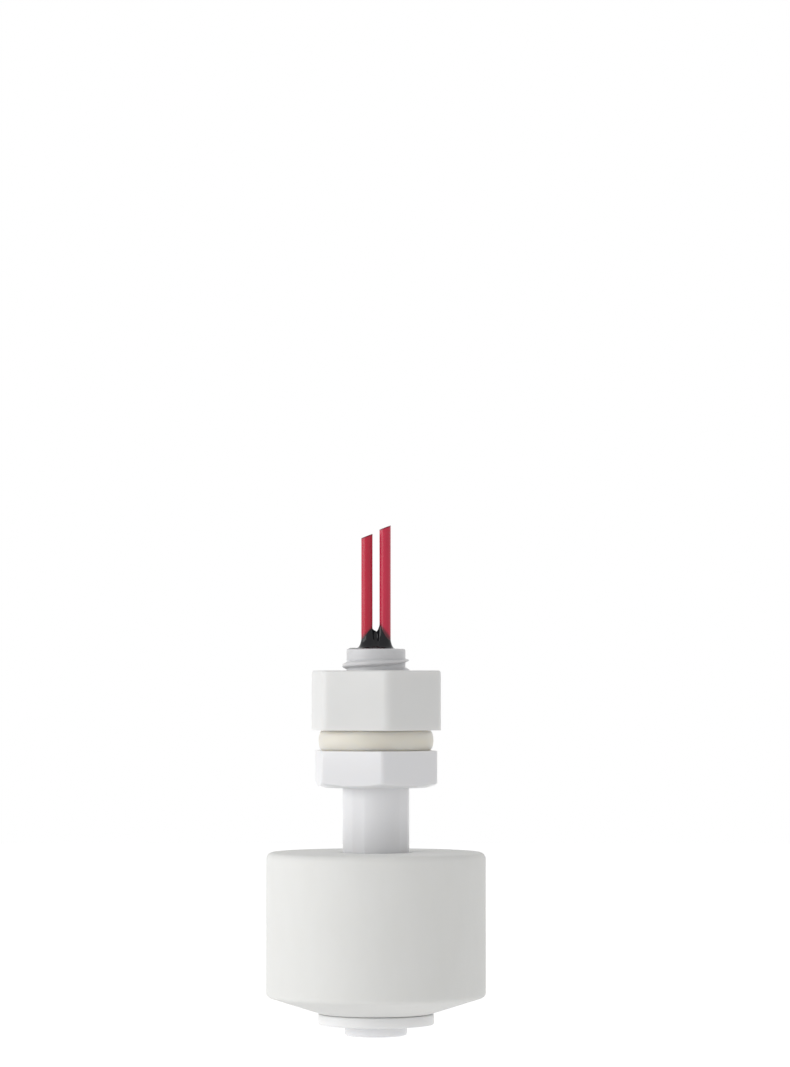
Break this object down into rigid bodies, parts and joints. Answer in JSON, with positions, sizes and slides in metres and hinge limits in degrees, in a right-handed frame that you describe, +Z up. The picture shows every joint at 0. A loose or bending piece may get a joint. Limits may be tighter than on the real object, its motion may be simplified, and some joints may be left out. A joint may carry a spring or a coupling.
{
  "type": "float level switch",
  "caption": "Small vertical float level switch: threaded plastic stud with nut, gasket and hex collar, sliding float held on the stem by a clip, and two cut lead wires.",
  "frame": {"origin": "centre of the collar's top face, the face that seals against the tank wall, on the stem's axis", "axes": "+Z up the threaded stud and along the lead wires, -Z down the stem and float, +X to the right of the pictured front, which looks along +Y"},
  "size_m": [0.0308, 0.0308, 0.0717],
  "materials": {
    "stem_pp": "smooth moulded polypropylene, faintly cool white, satin",
    "nut_pp": "smooth moulded polypropylene, soft white, satin",
    "gasket_silicone": "translucent cream silicone rubber",
    "clip_pp": "smooth moulded polypropylene, white",
    "float_foam": "foamed polypropylene, warm white with a faintly mottled skin",
    "magnet_ferrite": "dark sintered ferrite",
    "reed_alloy": "plated nickel-iron wire",
    "reed_glass": "greenish clear glass",
    "sleeve_polymer": "black shrink tubing",
    "wire_pvc": "crimson insulation with a soft gloss",
    "tinned_copper": "tinned copper strands",
    "solder": "dull tin solder",
    "potting_epoxy": "glossy black epoxy"
  },
  "bodies": {
    "stem": {"stem_body": "stem_pp", "sealing_gasket": "gasket_silicone", "retaining_clip": "clip_pp", "upper_reed_blade": "reed_alloy", "lower_reed_blade": "reed_alloy", "reed_glass": "reed_glass", "reed_sleeve": "sleeve_polymer", "left_wire_jacket": "wire_pvc", "left_wire_strands": "tinned_copper", "right_wire_jacket": "wire_pvc", "right_wire_strands": "tinned_copper", "upper_solder_joint": "solder", "upper_joint_sleeve": "sleeve_polymer", "lower_solder_joint": "solder", "lower_joint_sleeve": "sleeve_polymer", "potting": "potting_epoxy"},
    "float": {"float_body": "float_foam", "float_magnet": "magnet_ferrite", "magnet_cover": "float_foam"},
    "nut": {"mounting_nut": "nut_pp"}
  },
  "joints": [
    {"name": "float_slide", "type": "slide", "parent": "stem", "child": "float", "axis": [0, 0, 1], "range_m": [0, 0.009]},
    {"name": "nut_slide", "type": "slide", "parent": "stem", "child": "nut", "axis": [0, 0, 1], "range_m": [0, 0.012]}
  ]
}
